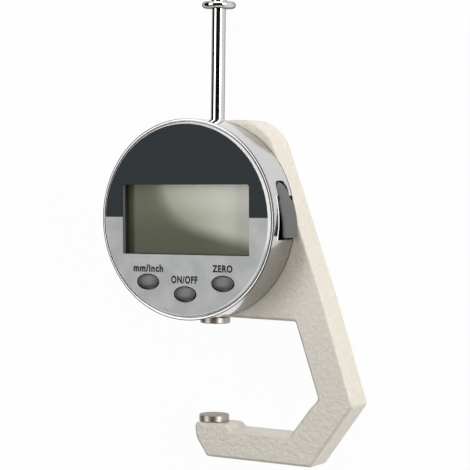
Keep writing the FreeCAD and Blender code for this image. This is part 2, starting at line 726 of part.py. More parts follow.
def make_scale_strip():
    """Printed strip on the carrier's front that the sensor board reads."""
    body = new_body("scale_strip")
    half = S.pocket_half - S.carrier_gap - S.strip_inset
    outline = new_sketch(body, "XY_Plane", CARRIER_FRONT)
    rectangle(outline, -half, half, CARRIER_LOW + S.strip_inset, CARRIER_HIGH - S.strip_inset)
    pad(body, outline, S.strip_thickness)
    return body


# Head housing

def make_head_housing():
    """Round shell, open at both ends, with the battery opening in its right side."""
    body = new_body("head_housing", at=HEAD)
    back, rim = S.frame_front, RIM_Z
    turned(body, [(S.head_radius - S.rear_undercut, back), (S.head_radius, back + S.rear_chamfer),
                  (S.head_radius, rim), (SEAT_RADIUS + S.groove_width, rim),
                  (SEAT_RADIUS, rim - S.groove_depth), (SEAT_RADIUS, SEAT_Z),
                  (INNER_RADIUS, SEAT_Z), (INNER_RADIUS, REAR_INSIDE + S.ledge_height),
                  (INNER_RADIUS - S.ledge_width, REAR_INSIDE + S.ledge_height),
                  (INNER_RADIUS - S.ledge_width, REAR_INSIDE), (INNER_RADIUS, REAR_INSIDE),
                  (INNER_RADIUS, back)], plane="XZ_Plane")
    outside = S.head_radius.value
    front = lies_at(rim)
    chamfer_edges(body, lambda edge: front(edge) and near(edge.Curve.Radius, outside), S.rim_chamfer)
    posts = new_sketch(body, "XY_Plane", REAR_INSIDE)
    for x, y in COVER_SCREW_SPOTS:
        circle(posts, x, y, S.post_radius)
    pad(body, posts, S.cover_screw_depth + S.screw_end_gap)
    webs = new_sketch(body, "XY_Plane", REAR_INSIDE)
    half = S.post_radius * DIAGONAL / 2
    outer = (INNER_RADIUS + S.housing_wall / 2) * DIAGONAL
    for side in (-1, 1):
        for level in (-1, 1):
            across = side * level * half
            near_x, near_y = side * COVER_SCREW, level * COVER_SCREW
            far_x, far_y = side * outer, level * outer
            polygon(webs, [(near_x + across, near_y - half), (far_x + across, far_y - half),
                           (far_x - across, far_y + half), (near_x - across, near_y + half)])
    pad(body, webs, S.cover_screw_depth + S.screw_end_gap)
    threads = new_sketch(body, "XY_Plane", REAR_INSIDE)
    for x, y in COVER_SCREW_SPOTS:
        circle(threads, x, y, S.small_screw_radius)
    pocket(body, threads, S.cover_screw_depth)
    opening = new_sketch(body, "XY_Plane", DOOR_BACK)
    inner = INNER_RADIUS - S.ledge_width - 2
    rectangle(opening, inner, S.head_radius + 1, -S.door_bottom, S.door_shoulder)
    pocket(body, opening, DOOR_FRONT - DOOR_BACK)
    slot = new_sketch(body, "XY_Plane", SLOT_BACK)
    slot_end = S.pivot_rise + S.cover_tip + S.tip_gap
    rectangle(slot, inner, S.head_radius + 1, 0, slot_end)
    pocket(body, slot, SLOT_FRONT - SLOT_BACK)
    pin = new_sketch(body, "XY_Plane", SLOT_BACK - S.pin_overlap)
    circle(pin, PIVOT_X, S.pivot_rise, S.pivot_radius)
    pocket(body, pin, SLOT_FRONT - SLOT_BACK + 2 * S.pin_overlap)
    return body


def make_rear_cover():
    """Disc that closes the housing behind: screw bosses and the sensor board's window."""
    body = new_body("rear_cover", at=HEAD)
    disc = new_sketch(body, "XY_Plane", S.frame_front)
    circle(disc, 0, 0, REAR_RADIUS)
    pad(body, disc, S.rear_thickness)
    bosses = new_sketch(body, "XY_Plane", REAR_INSIDE)
    holes = [(side * SCREW_X, level * SCREW_RISE) for side in (-1, 1) for level in (-1, 1)]
    for x, y in holes:
        circle(bosses, x, y, S.boss_radius)
    pad(body, bosses, S.boss_height)
    threads = new_sketch(body, "XY_Plane", S.frame_front)
    for x, y in holes:
        circle(threads, x, y, S.screw_radius)
    for x, y in COVER_SCREW_SPOTS:
        circle(threads, x, y, S.small_screw_radius + S.fit_gap)
    pocket(body, threads, S.rear_thickness + S.boss_height)
    sinks = new_sketch(body, "XY_Plane", S.frame_front)
    for x, y in COVER_SCREW_SPOTS:
        circle(sinks, x, y, S.small_head_radius + S.fit_gap)
    pocket(body, sinks, S.small_head_height)
    low, high = POCKET_LOW - HEAD_Y, POCKET_HIGH - HEAD_Y
    window = new_sketch(body, "XY_Plane", S.frame_front)
    inner = S.sensor_half_width - S.sensor_ledge
    rectangle(window, -inner, inner, low + S.sensor_ledge, high - S.sensor_ledge)
    pocket(body, window, S.rear_thickness)
    recess = new_sketch(body, "XY_Plane", SENSOR_BACK)
    rectangle(recess, -S.sensor_half_width, S.sensor_half_width, low, high)
    pocket(body, recess, S.rear_thickness)
    return body


def make_rear_cover_screws():
    """Four flush screws that hold the rear cover to the housing's posts."""
    return make_screws("rear_cover_screws", COVER_SCREW_SPOTS, HEAD, S.frame_front + S.small_head_height,
                       REAR_INSIDE + S.cover_screw_depth, S.small_screw_radius, S.small_head_radius,
                       S.small_head_height)


def make_sensor_board():
    """Long board in the rear cover that faces the scale strip."""
    body = new_body("sensor_board", at=HEAD)
    half = S.sensor_half_width - S.fit_gap
    outline = new_sketch(body, "XY_Plane", SENSOR_BACK)
    rectangle(outline, -half, half, POCKET_LOW - HEAD_Y + S.fit_gap, POCKET_HIGH - HEAD_Y - S.fit_gap)
    pad(body, outline, S.board_thickness)
    return body


def make_board_link():
    """Pin block that joins the sensor board to the main board."""
    body = new_body("board_link", at=HEAD)
    front = SENSOR_BACK + S.board_thickness
    outline = new_sketch(body, "XY_Plane", front)
    low = POCKET_LOW - HEAD_Y + S.link_inset
    rectangle(outline, -S.link_half_width, S.link_half_width, low, low + 2 * S.link_half_height)
    pad(body, outline, BOARD_BACK - front)
    return body


# Face

def oval(sketch, x, y, half_width, half_height):
    """An ellipse with its long way along X."""
    x, y, half_width, half_height = [Size.of(value) for value in (x, y, half_width, half_height)]
    centre = FreeCAD.Vector(x.value, y.value, 0)
    end = FreeCAD.Vector(x.value + half_width.value, y.value, 0)
    side = FreeCAD.Vector(x.value, y.value + half_height.value, 0)
    number = sketch.addGeometry(Part.Ellipse(end, side, centre), False)
    sketch.exposeInternalGeometry(number)
    place_point(sketch, number, 3, (x, y))
    long_way, short_way = number + 1, number + 2
    place_point(sketch, long_way, 1, (x + half_width, y))
    held = sketch.addConstraint(Sketcher.Constraint("Distance", short_way, 2 * half_height.value))
    sketch.setExpression("Constraints[%d]" % held, (2 * half_height).text)
    return sketch


def make_face_cover():
    """Front cover: bright bevel, display window, key holes and the posts behind it."""
    body = new_body("face_cover", at=HEAD, turn=S.face_turn)
    rim = SEAT_RADIUS - S.fit_gap
    bevel = FACE_FRONT - S.face_chamfer_drop
    skirt = INNER_RADIUS - S.fit_gap
    turned(body, [(0, FACE_BACK), (skirt, FACE_BACK), (skirt, SEAT_Z), (rim, SEAT_Z), (rim, bevel),
                  (FACE_RADIUS, FACE_FRONT), (0, FACE_FRONT)], plane="XZ_Plane")
    posts = new_sketch(body, "XY_Plane", BOARD_FRONT)
    for x, y in BOARD_SCREW_SPOTS:
        circle(posts, x, y, S.board_post_radius)
    pad(body, posts, FACE_BACK - BOARD_FRONT)
    threads = new_sketch(body, "XY_Plane", BOARD_FRONT)
    for x, y in BOARD_SCREW_SPOTS:
        circle(threads, x, y, S.small_screw_radius)
    pocket(body, threads, FACE_BACK - BOARD_FRONT - S.screw_end_gap)
    panel = new_sketch(body, "XY_Plane", FACE_FRONT)
    panel_outline(panel, S.panel_edge - S.fit_gap)
    pocket(body, panel, S.panel_thickness, towards_normal=False)
    wide, tall = WINDOW_WIDE, WINDOW_TALL
    window = new_sketch(body, "XY_Plane", FACE_BACK)
    rectangle(window, -wide, wide, -tall, tall)
    pocket(body, window, S.face_thickness)
    round_edges(body, stands_at((-wide, tall), (wide, tall)), S.window_round)
    holes = new_sketch(body, "XY_Plane", FACE_BACK)
    for x, y in KEYS.values():
        oval(holes, x, y, S.key_half_width + S.key_gap, S.key_half_height + S.key_gap)
    pocket(body, holes, S.face_thickness)
    return body


def panel_outline(sketch, inset):
    """Upper field of the face: a circle's segment above a straight lower edge."""
    radius = FACE_RADIUS - inset
    low = S.panel_bottom
    reach = root(radius * radius - low * low)
    start, end = math.atan2(low.value, reach.value), math.pi - math.atan2(low.value, reach.value)
    whole = Part.Circle(FreeCAD.Vector(), FreeCAD.Vector(0, 0, 1), radius.value)
    arc = sketch.addGeometry(Part.ArcOfCircle(whole, start, end), False)
    left, right = FreeCAD.Vector(-reach.value, low.value, 0), FreeCAD.Vector(reach.value, low.value, 0)
    line = sketch.addGeometry(Part.LineSegment(left, right), False)
    sketch.addConstraint(Sketcher.Constraint("Coincident", arc, 2, line, 1))
    sketch.addConstraint(Sketcher.Constraint("Coincident", arc, 1, line, 2))
    sketch.addConstraint(Sketcher.Constraint("Horizontal", line))
    place_point(sketch, arc, 3, (0, 0))
    place_point(sketch, line, 1, (-reach, low))
    return sketch


def make_dark_panel():
    """Thin dark plate let into the upper part of the face, cut out round the window."""
    body = new_body("dark_panel", at=HEAD, turn=S.face_turn)
    level = FACE_FRONT - S.panel_thickness
    outline = new_sketch(body, "XY_Plane", level)
    panel_outline(outline, S.panel_edge)
    pad(body, outline, S.panel_thickness)
    wide, tall = WINDOW_WIDE, WINDOW_TALL
    window = new_sketch(body, "XY_Plane", level)
    rectangle(window, -wide, wide, -tall, tall)
    pocket(body, window, S.panel_thickness)
    round_edges(body, stands_at((-wide, tall), (wide, tall)), S.window_round)
    return body


def make_display_frame():
    """Black frame that holds the display behind the face."""
    body = new_body("display_frame", at=HEAD, turn=S.face_turn)
    tray_wide, tray_tall = WINDOW_WIDE + S.liner_margin, WINDOW_TALL + S.liner_margin
    tray = new_sketch(body, "XY_Plane", LINER_BACK)
    rectangle(tray, -tray_wide, tray_wide, -tray_tall, tray_tall)
    pad(body, tray, FACE_BACK - LINER_BACK)
    wide, tall = WINDOW_WIDE - S.sight_step, WINDOW_TALL - S.sight_step
    sight = new_sketch(body, "XY_Plane", LINER_BACK)
    rectangle(sight, -wide, wide, -tall, tall)
    pocket(body, sight, FACE_BACK - LINER_BACK)
    seat = new_sketch(body, "XY_Plane", LINER_BACK)
    rectangle(seat, -GLASS_WIDE, GLASS_WIDE, -GLASS_TALL, GLASS_TALL)
    pocket(body, seat, DISPLAY_FRONT - LINER_BACK)
    return body


def make_display_panel():
    """Liquid crystal glass behind the window."""
    body = new_body("display_panel", at=HEAD, turn=S.face_turn)
    wide, tall = GLASS_WIDE - S.fit_gap, GLASS_TALL - S.fit_gap
    outline = new_sketch(body, "XY_Plane", DISPLAY_BACK)
    rectangle(outline, -wide, wide, -tall, tall)
    pad(body, outline, S.display_thickness)
    return body


def make_display_connectors():
    """Two rubber strips that join the display to the board."""
    body = new_body("display_connectors", at=HEAD, turn=S.face_turn)
    outline = new_sketch(body, "XY_Plane", BOARD_FRONT)
    reach = GLASS_WIDE - S.strip_short
    for side in (-1, 1):
        middle = side * (GLASS_TALL - S.connector_inset)
        rectangle(outline, -reach, reach,
                  middle - S.connector_half, middle + S.connector_half)
    pad(body, outline, DISPLAY_BACK - BOARD_FRONT)
    return body


# Boards and keys

def make_main_board():
    """Round board with a bay for the battery holder."""
    body = new_body("main_board", at=HEAD, turn=S.face_turn)
    disc = new_sketch(body, "XY_Plane", BOARD_BACK)
    circle(disc, 0, 0, BOARD_RADIUS)
    pad(body, disc, S.board_thickness)
    bay = new_sketch(body, "XY_Plane", BOARD_BACK)
    reach = HOLDER_RADIUS + S.holder_margin
    rectangle(bay, CELL_X - reach, BOARD_RADIUS + 1, S.cell_rise - reach, S.cell_rise + reach)
    pocket(body, bay, S.board_thickness)
    holes = new_sketch(body, "XY_Plane", BOARD_BACK)
    for x, y in BOARD_SCREW_SPOTS:
        circle(holes, x, y, S.small_screw_radius + S.fit_gap)
    pocket(body, holes, S.board_thickness)
    return body


def make_main_chip():
    """Reading chip on the back of the main board."""
    body = new_body("main_chip", at=HEAD, turn=S.face_turn)
    outline = new_sketch(body, "XY_Plane", BOARD_BACK - S.chip_height)
    rectangle(outline, -S.chip_reach - S.chip_half, S.chip_half - S.chip_reach, -S.chip_half, S.chip_half)
    pad(body, outline, S.chip_height)
    return body


def make_board_screws():
    """Four screws that hold the main board to the face cover's posts."""
    return make_screws("board_screws", BOARD_SCREW_SPOTS, HEAD, BOARD_BACK, FACE_BACK - 2 * S.screw_end_gap,
                       S.small_screw_radius, S.small_head_radius, S.small_head_height, turn=S.face_turn)


def make_snap_dome(name):
    """Sprung metal dish on the board under one key."""
    x, y = KEYS[name]
    turn = S.face_turn
    spot = (x * cosine(turn) - y * sine(turn), HEAD_Y + x * sine(turn) + y * cosine(turn), BOARD_FRONT)
    body = new_body("dome_" + name, at=spot)
    crown, sheet = S.dome_radius / 2, S.dome_sheet
    turned(body, [(0, S.dome_height - sheet), (crown, S.dome_height - sheet), (S.dome_radius - sheet, 0),
                  (S.dome_radius, 0), (S.dome_radius, sheet), (crown, S.dome_height), (0, S.dome_height)],
           plane="XZ_Plane")
    return body


def make_key(name):
    """Oval key: crowned top, stop flange behind the face and a nib over its dome."""
    body = new_body("button_" + name, at=HEAD, turn=S.face_turn)
    x, y = KEYS[name]
    top = FACE_FRONT + S.key_proud
    flange_top = FACE_BACK - S.fit_gap
    flange = new_sketch(body, "XY_Plane", flange_top - S.key_flange_height)
    oval(flange, x, y, S.key_half_width + S.key_flange, S.key_half_height + S.key_flange)
    pad(body, flange, S.key_flange_height)
    shank = new_sketch(body, "XY_Plane", flange_top)
    oval(shank, x, y, S.key_half_width, S.key_half_height)
    pad(body, shank, top - flange_top)
    chamfer_edges(body, lies_at(top), S.key_dome)
    nib_low = BOARD_FRONT + S.dome_height + S.key_travel + S.fit_gap
    nib = new_sketch(body, "XY_Plane", nib_low)
    circle(nib, x, y, S.key_nib_radius)
    pad(body, nib, flange_top - S.key_flange_height - nib_low)
    return body


# Battery

def make_battery_cell():
    """Button cell: a wide can with the smaller pole raised on its front."""
    body = new_body("battery_cell", at=HEAD)
    can = new_sketch(body, "XY_Plane", CELL_BACK)
    circle(can, CELL_X, S.cell_rise, S.cell_radius)
    pad(body, can, 0.9 * S.cell_height)
    pole = new_sketch(body, "XY_Plane", CELL_BACK + 0.9 * S.cell_height)
    circle(pole, CELL_X, S.cell_rise, 0.8 * S.cell_radius)
    pad(body, pole, 0.1 * S.cell_height)
    return body


def make_battery_holder():
    """Horseshoe wall round the cell, open towards the side of the head."""
    body = new_body("battery_holder", at=HEAD)
    height = CELL_FRONT - REAR_INSIDE - S.contact_sheet
    ring = new_sketch(body, "XY_Plane", REAR_INSIDE)
    circle(ring, CELL_X, S.cell_rise, HOLDER_RADIUS)
    circle(ring, CELL_X, S.cell_rise, S.cell_radius + S.cell_gap)
    pad(body, ring, height)
    mouth = new_sketch(body, "XY_Plane", REAR_INSIDE)
    reach = HOLDER_RADIUS + 1
    rectangle(mouth, CELL_X, CELL_X + reach, S.cell_rise - reach, S.cell_rise + reach)
    pocket(body, mouth, height)
    return body


def make_battery_contact_minus():
    """Sheet under the cell."""
    body = new_body("battery_contact_minus", at=HEAD)
    outline = new_sketch(body, "XY_Plane", REAR_INSIDE)
    half = S.cell_radius * 0.45
    rectangle(outline, CELL_X - S.cell_radius * 0.8, CELL_X + half,
              S.cell_rise - half, S.cell_rise + half)
    pad(body, outline, S.contact_sheet)
    return body


def make_battery_contact_plus():
    """Sheet over the cell's raised pole, fixed to the holder's wall."""
    body = new_body("battery_contact_plus", at=HEAD)
    outline = new_sketch(body, "XY_Plane", CELL_FRONT)
    half = S.cell_radius * 0.3
    rectangle(outline, CELL_X - HOLDER_RADIUS, CELL_X + half,
              S.cell_rise - half, S.cell_rise + half)
    pad(body, outline, S.contact_sheet)
    foot = new_sketch(body, "XY_Plane", CELL_FRONT - S.contact_sheet)
    rectangle(foot, CELL_X - HOLDER_RADIUS + S.fit_gap, CELL_X - S.cell_radius - S.cell_gap,
              S.cell_rise - half, S.cell_rise + half)
    pad(body, foot, S.contact_sheet)
    return body


def make_cover_pin():
    """Pin in the housing that the battery cover turns on."""
    body = new_body("cover_pin", at=HEAD)
    outline = new_sketch(body, "XY_Plane", SLOT_BACK - S.pin_overlap)
    circle(outline, PIVOT_X, S.pivot_rise, S.pivot_radius)
    pad(body, outline, SLOT_FRONT - SLOT_BACK + 2 * S.pin_overlap)
    return body


def make_battery_cover():
    """Side cover on its pin: a curved plate with a narrower tongue above its shoulders."""
    body = new_body("battery_cover", at=(PIVOT_X, HEAD_Y + S.pivot_rise, ZERO), turn=S.cover_ajar)
    low, high = DOOR_BACK + S.door_gap, DOOR_FRONT - S.door_gap
    shoulder = S.door_shoulder - S.shoulder_gap - S.pivot_rise
    foot = S.door_gap - S.door_bottom - S.pivot_rise
    beyond = S.head_radius - PIVOT_X + 1
    plate = new_sketch(body, "XY_Plane", low)
    rectangle(plate, 0, beyond, foot, shoulder)
    pad(body, plate, high - low)
    chamfer_edges(body, across_at(shoulder), S.shoulder_slope)
    round_edges(body, across_at(foot), S.foot_round)
    inside = new_sketch(body, "XY_Plane", low)
    circle(inside, -PIVOT_X, -S.pivot_rise, S.head_radius - S.cover_skin)
    pocket(body, inside, high - low)
    tongue_low, tongue_high = SLOT_BACK + S.door_gap, SLOT_FRONT - S.door_gap
    tongue = new_sketch(body, "XY_Plane", tongue_low)
    rectangle(tongue, -S.cover_knuckle, beyond, shoulder - S.cover_skin, S.cover_tip)
    pad(body, tongue, tongue_high - tongue_low)
    round_edges(body, across_at(S.cover_tip), S.tongue_round)
    outside = new_sketch(body, "XY_Plane", low)
    circle(outside, -PIVOT_X, -S.pivot_rise, S.head_radius)
    circle(outside, -PIVOT_X, -S.pivot_rise, S.head_radius + 2 * beyond)
    pocket(body, outside, high - low)
    pin = new_sketch(body, "XY_Plane", tongue_low)
    circle(pin, 0, 0, S.pivot_radius + S.pivot_gap)
    pocket(body, pin, tongue_high - tongue_low)
    return body


make_frame_casting()
make_anvil()
make_lower_bush()
make_upper_bush()
make_spindle_seal()
make_guide_rail()
make_frame_screws()
make_spindle_rod()
make_spindle_cap()
make_contact_tip()
make_scale_carrier()
make_carrier_screw()
make_scale_strip()
make_head_housing()
make_rear_cover()
make_rear_cover_screws()
make_sensor_board()
make_board_link()
make_face_cover()
make_dark_panel()
make_display_frame()
make_display_panel()
make_display_connectors()
make_main_board()
make_main_chip()
make_board_screws()
for key in KEYS:
    make_snap_dome(key)
    make_key(key)
make_battery_cell()
make_battery_holder()
make_battery_contact_minus()
make_battery_contact_plus()
make_cover_pin()
make_battery_cover()
doc.recompute()


# Checks and export

pieces = [thing for thing in doc.Objects if thing.TypeId == "PartDesign::Body"]
faults = [thing.Label for thing in doc.Objects if "Invalid" in thing.State or "Error" in thing.State]
for piece in pieces:
    if piece.Shape.isNull() or not piece.Shape.isValid():
        faults.append(piece.Label)
if faults:
    raise RuntimeError("not built: " + ", ".join(faults))

os.makedirs("parts", exist_ok=True)
for piece in pieces:
    piece.Shape.exportStep("parts/%s.step" % piece.Label)
print("%d pieces" % len(pieces))
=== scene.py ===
"""Looks of a digital thickness gauge: hammertone frame, satin head, polished spindle, display and keys.

+Y runs up the spindle, +X towards the frame's spine and +Z out of the display. The gauge lies on its
back. The model's own frame and the stage are in metres, and the sizes of the pieces are written in
millimetres.
"""
import json
import math

import bpy
import numpy as np
from mathutils import Matrix, Vector


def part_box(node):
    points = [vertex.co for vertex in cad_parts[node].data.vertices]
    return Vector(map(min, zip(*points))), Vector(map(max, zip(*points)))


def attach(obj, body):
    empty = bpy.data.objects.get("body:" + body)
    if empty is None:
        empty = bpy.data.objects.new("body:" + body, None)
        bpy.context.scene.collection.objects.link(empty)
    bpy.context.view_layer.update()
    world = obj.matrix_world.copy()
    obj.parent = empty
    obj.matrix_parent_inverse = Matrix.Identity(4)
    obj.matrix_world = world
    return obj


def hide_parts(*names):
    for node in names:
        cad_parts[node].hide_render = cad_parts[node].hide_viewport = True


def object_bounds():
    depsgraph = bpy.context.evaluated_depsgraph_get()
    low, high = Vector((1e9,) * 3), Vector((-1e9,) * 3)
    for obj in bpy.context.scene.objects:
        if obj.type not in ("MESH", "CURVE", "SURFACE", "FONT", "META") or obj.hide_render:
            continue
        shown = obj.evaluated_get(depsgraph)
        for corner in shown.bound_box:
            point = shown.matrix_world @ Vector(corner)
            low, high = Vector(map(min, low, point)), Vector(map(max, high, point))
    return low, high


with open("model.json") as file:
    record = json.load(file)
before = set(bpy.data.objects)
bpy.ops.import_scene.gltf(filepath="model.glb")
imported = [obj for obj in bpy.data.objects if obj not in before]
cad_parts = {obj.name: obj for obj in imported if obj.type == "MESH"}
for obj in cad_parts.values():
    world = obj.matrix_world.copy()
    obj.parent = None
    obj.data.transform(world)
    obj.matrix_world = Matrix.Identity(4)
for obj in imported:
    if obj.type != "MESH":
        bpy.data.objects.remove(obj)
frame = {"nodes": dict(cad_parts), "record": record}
CAD_BOX = [list(corner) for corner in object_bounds()]

MM = 0.001
FLOOR_LEVEL = CAD_BOX[0][2]

# The reading head, in millimetres. Its face is turned a little in the housing, anticlockwise.
HEAD_Y = 54.4
HEAD_RADIUS = 27.2
FACE_RADIUS = 25.86
FACE_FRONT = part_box("face_cover")[1].z / MM
FACE_TURN = math.radians(1.2)
FACE_AXES = np.array([[math.cos(FACE_TURN), math.sin(FACE_TURN), 0],
                      [-math.sin(FACE_TURN), math.cos(FACE_TURN), 0], [0, 0, 1]])

# Light that reaches dull surfaces from all round, where 1 is the white of the background
AMBIENT = 0.24


# Shader maths

class Value:
    """A number socket with Python's arithmetic."""

    def __init__(self, graph, socket):
        self.graph = graph
        self.socket = socket

    def maths(self, operation, *others):
        """One Math node of this number and others."""
        return self.graph.node("ShaderNodeMath", {"operation": operation}, [self, *others])

    def __add__(self, other):
        return self.maths("ADD", other)

    __radd__ = __add__

    def __sub__(self, other):
        return self.maths("SUBTRACT", other)

    def __mul__(self, other):
        return self.maths("MULTIPLY", other)

    __rmul__ = __mul__

    def __truediv__(self, other):
        return self.maths("DIVIDE", other)


class Graph:
    """Nodes of one material, with its Principled shader at hand."""

    def __init__(self, name):
        self.material = bpy.data.materials.new(name)
        self.material.use_nodes = True
        self.nodes = self.material.node_tree.nodes
        self.links = self.material.node_tree.links
        self.shader = next(node for node in self.nodes if node.type == "BSDF_PRINCIPLED")
        self.output = next(node for node in self.nodes if node.type == "OUTPUT_MATERIAL")

    def connect(self, target, value):
        """Links a value to a socket, or sets the socket where the value is a plain one."""
        if isinstance(value, Value):
            self.links.new(value.socket, target)
        else:
            target.default_value = value

    def node(self, kind, settings=None, inputs=None, output=0):
        """Adds a node: its settings first, then the values or links of its sockets."""
        made = self.nodes.new(kind)
        for key, value in (settings or {}).items():
            setattr(made, key, value)
        pairs = inputs.items() if isinstance(inputs, dict) else enumerate(inputs or [])
        for key, value in pairs:
            self.connect(made.inputs[key], value)
        return Value(self, made.outputs[output])

    def place(self):
        """The object's own coordinates, in metres."""
        return self.node("ShaderNodeTexCoord", output="Object")

    def axes(self):
        """The object's own coordinates as three numbers, in millimetres."""
        split = self.nodes.new("ShaderNodeSeparateXYZ")
        self.links.new(self.place().socket, split.inputs[0])
        return [Value(self, split.outputs[number]) * (1 / MM) for number in range(3)]

    def noise(self, scale, detail=2.0, vector=None):
        """Soft noise from 0 to 1, with scale waves in a metre."""
        vector = vector or self.place()
        inputs = {"Vector": vector, "Scale": scale, "Detail": detail}
        return self.node("ShaderNodeTexNoise", None, inputs)

    def stretched(self, scales):
        """Object coordinates stretched by three factors."""
        return self.node("ShaderNodeMapping", None, {"Vector": self.place(), "Scale": scales})

    def smooth(self, value, low, high):
        """Goes smoothly from 0 at low to 1 at high."""
        settings = {"interpolation_type": "SMOOTHSTEP"}
        inputs = {"Value": value, "From Min": low, "From Max": high}
        return self.node("ShaderNodeMapRange", settings, inputs)

    def blend(self, factor, first, second):
        """Mixes two colours."""
        mix = self.nodes.new("ShaderNodeMix")
        mix.data_type = "RGBA"
        self.connect(mix.inputs[0], factor)
        for socket, colour in ((mix.inputs[6], first), (mix.inputs[7], second)):
            self.connect(socket, colour if isinstance(colour, Value) else (*colour, 1.0))
        return Value(self, mix.outputs[2])

    def bump(self, height, strength, distance):
        """A surface direction that follows a height; distance is its depth in metres."""
        return self.node("ShaderNodeBump", None,
                         {"Strength": strength, "Distance": distance, "Height": height})

    def finish(self, colour, roughness=0.5, metallic=0.0, normal=None, coat=0.0, specular=0.5):
        """Feeds the shader and gives the finished material."""
        shader = self.shader.inputs
        self.connect(shader["Base Color"], colour if isinstance(colour, Value) else (*colour, 1.0))
        self.connect(shader["Roughness"], roughness)
        shader["Metallic"].default_value = metallic
        self.connect(shader["Coat Weight"], coat)
        shader["Specular IOR Level"].default_value = specular
        if normal is not None:
            self.connect(shader["Normal"], normal)
        return self.material


def grained(name, colour, roughness=0.5, metallic=0.0, specular=0.5):
    """One colour, with a fine grain that changes its depth and its gloss a little."""
    spread = 0.06
    graph = Graph(name)
    grain = graph.noise(1600.0)
    darker, lighter = ([part * share for part in colour] for share in (1 - spread, 1 + spread))
    return graph.finish(graph.blend(grain, darker, lighter), roughness * (grain * 0.4 + 0.8), metallic,
                        specular=specular)


# Finishes

def hammertone_paint():
    """Cream paint with a fine uneven grain that catches small lights."""
    graph = Graph("hammertone_paint")
    coarse = graph.noise(850.0)
    fine = graph.noise(2400.0, 1.0)
    height = coarse + fine * 0.35
    raised = graph.smooth(coarse, 0.5, 0.7)
    colour = graph.blend(raised, (0.82, 0.765, 0.665), (0.88, 0.825, 0.72))
    return graph.finish(colour, 0.3, normal=graph.bump(height, 0.6, 0.0003), specular=0.6)


def polished_steel():
    """Bright ground steel that reflects less at a flat angle."""
    graph = Graph("polished_steel")
    grain = graph.noise(700.0)
    graph.shader.inputs["Specular Tint"].default_value = (0.08, 0.078, 0.074, 1.0)
    return graph.finish((0.64, 0.63, 0.61), 0.04 + grain * 0.02, 1.0)


def lapped_steel():
    """Measuring discs: steel a little duller than the rod, with faint turning marks on the rim."""
    graph = Graph("lapped_steel")
    rings = graph.noise(1.0, 2.0, graph.stretched((60.0, 5000.0, 60.0)))
    graph.shader.inputs["Specular Tint"].default_value = (0.68, 0.66, 0.63, 1.0)
    return graph.finish((0.42, 0.388, 0.348), 0.36 + rings * 0.1, 1.0)


def satin_head():
    """Satin aluminium of the housing, with light scratches round the wall."""
    graph = Graph("satin_head")
    grain = graph.noise(1.0, 3.0, graph.stretched((500.0, 500.0, 4500.0)))
    cloud = graph.noise(140.0, 1.0)
    return graph.finish((0.60, 0.60, 0.595), 0.085 + grain * 0.05 + cloud * 0.05, 1.0,
                        normal=graph.bump(grain, 0.05, 0.00002))


def turned_rim():
    """Rim of the housing, with fine turning marks."""
    graph = Graph("turned_rim")
    marks = graph.noise(900.0)
    return graph.finish((0.34, 0.34, 0.335), 0.13 + marks * 0.08, 1.0)


def brushed_face():
    """Silver face, very finely brushed, with soft clouds and a bright turned bevel round it."""
    graph = Graph("brushed_face")
    grain = graph.noise(1.0, 3.0, graph.stretched((150.0, 5200.0, 150.0)))
    cloud = graph.noise(170.0)
    x, y, _ = graph.axes()
    y = y - HEAD_Y
    edge = graph.smooth((x * x + y * y).maths("SQRT"), FACE_RADIUS - 0.1, FACE_RADIUS + 0.05)
    flat = graph.blend(graph.smooth(cloud, 0.35, 0.7), (0.275, 0.284, 0.28), (0.325, 0.332, 0.326))
    colour = graph.blend(edge, flat, (0.74, 0.74, 0.73))
    return graph.finish(colour, 0.36 + grain * 0.08 - edge * 0.2, 0.55,
                        normal=graph.bump(grain, 0.05, 0.00003))


def dark_field():
    """Dark blue-grey print of the upper face."""
    graph = Graph("dark_field")
    speck = graph.noise(2500.0, 1.0)
    return graph.finish((0.012, 0.020, 0.024), 0.42 + speck * 0.06, specular=0.2)


def display_glass():
    """Grey-green display with a painted reflection: light in its upper right, dark below a soft bent
    boundary.

    The boundary falls gently to the right and bends steeply up at the left. The distance from it is
    divided by its steepness, so the soft edge is about as wide along all of it.
    """
    graph = Graph("display_glass")
    x, y, _ = graph.axes()
    y = y - HEAD_Y
    bend = ((x + 8.8) * (-1 / 3.4)).maths("EXPONENT") * 4.5
    boundary = x * -0.2 - 3.1 + bend
    steepness = (bend * bend * 0.35 + 1.1).maths("SQRT")
    # The light side of the boundary is a painted reflection in the glass.
    light = graph.smooth((y - boundary) / steepness, -1.8, 3.2)
    # Painted light: the reflection grows brighter towards the right and the top, making up for the
    # shade of the display's recess.
    across = graph.smooth(x, -10.0, 21.0)
    upper = graph.smooth(y, -0.7, 8.0)
    bright = graph.blend(upper, graph.blend(across, (0.34, 0.35, 0.255), (0.85, 0.87, 0.74)),
                         graph.blend(across, (0.59, 0.61, 0.45), (1.0, 1.0, 0.86)))
    # Below the boundary the colour grows lighter towards the top and the right.
    dull = graph.blend(graph.smooth(y, -7.0, 9.0), (0.090, 0.095, 0.055), (0.18, 0.187, 0.115))
    dull = graph.blend(graph.smooth(x, 2.0, 20.0), dull, (0.16, 0.165, 0.105))
    # The coat's gloss lies only where the reflection is painted.
    shine = light * upper * graph.smooth(x, -14.0, 2.0) * 0.8
    return graph.finish(graph.blend(light, dull, bright), 0.12, coat=shine, specular=0.15)


def key_plastic():
    """Grey keys with painted shade: near black below the face, down in the gap round them."""
    graph = Graph("key_plastic")
    grain = graph.noise(3000.0, 1.0)
    _, _, level = graph.axes()
    # Painted shade: the key is near black where it sits below the face, in the gap round it.
    above_gap_shade = graph.smooth(level, FACE_FRONT - 0.6, FACE_FRONT + 0.05)
    colour = graph.blend(above_gap_shade, (0.006, 0.006, 0.006), (0.128, 0.130, 0.130))
    return graph.finish(colour, 0.26 + grain * 0.08, normal=graph.bump(grain, 0.05, 0.00003))


def cover_plastic():
    """Smooth grey plastic of the side cover."""
    graph = Graph("cover_plastic")
    grain = graph.noise(2600.0, 1.0)
    return graph.finish((0.108, 0.108, 0.106), 0.36 + grain * 0.1,
                        normal=graph.bump(grain, 0.08, 0.00003))


